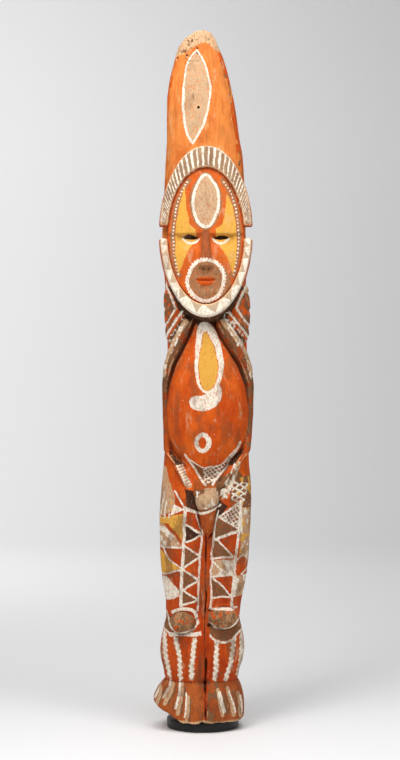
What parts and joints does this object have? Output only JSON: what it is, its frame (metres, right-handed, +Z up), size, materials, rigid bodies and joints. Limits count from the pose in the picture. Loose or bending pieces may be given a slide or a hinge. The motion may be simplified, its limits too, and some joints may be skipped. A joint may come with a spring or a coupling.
{
  "type": "carved ancestor figure",
  "caption": "Tall narrow standing figure carved from one log, with pointed headdress, rimmed oval face, rounded belly and knobbed legs, on a low plinth.",
  "frame": {"origin": "middle of the felt's underside, on the floor below the figure", "axes": "+Z up along the figure, -Y towards the side that the face looks to, +X to the figure's left"},
  "size_m": [0.2622, 0.2048, 1.81],
  "materials": {
    "headdress": "matt earth paint, worn",
    "neck_block": "matt earth paint, worn",
    "crest_band": "matt earth paint, worn",
    "chin_ruff": "matt earth paint, worn",
    "face_plate": "matt earth paint",
    "nose": "matt earth paint",
    "shoulders": "matt earth paint, worn",
    "arms": "matt earth paint, worn",
    "hands": "matt earth paint, worn",
    "trunk": "matt earth paint",
    "loin_carving": "matt earth paint, worn",
    "legs": "matt earth paint, worn",
    "knees": "matt earth paint, worn",
    "feet": "matt earth paint, worn",
    "plinth": "satin black lacquer",
    "pins": "turned",
    "felt": "wool felt"
  },
  "bodies": {
    "root": {"headdress": "headdress", "neck_block": "neck_block", "crest_band": "crest_band", "chin_ruff": "chin_ruff", "face_plate": "face_plate", "nose": "nose", "right_shoulder": "shoulders", "left_shoulder": "shoulders", "right_arm": "arms", "left_arm": "arms", "right_hand": "hands", "left_hand": "hands", "back_slab": "trunk", "belly": "trunk", "pelvis": "trunk", "loin_carving": "loin_carving", "right_thigh": "legs", "left_thigh": "legs", "leg_web": "legs", "right_knee": "knees", "left_knee": "knees", "right_calf": "legs", "left_calf": "legs", "right_foot": "feet", "left_foot": "feet", "plinth": "plinth", "mounting_pins": "pins", "felt_sole": "felt"}
  },
  "joints": []
}
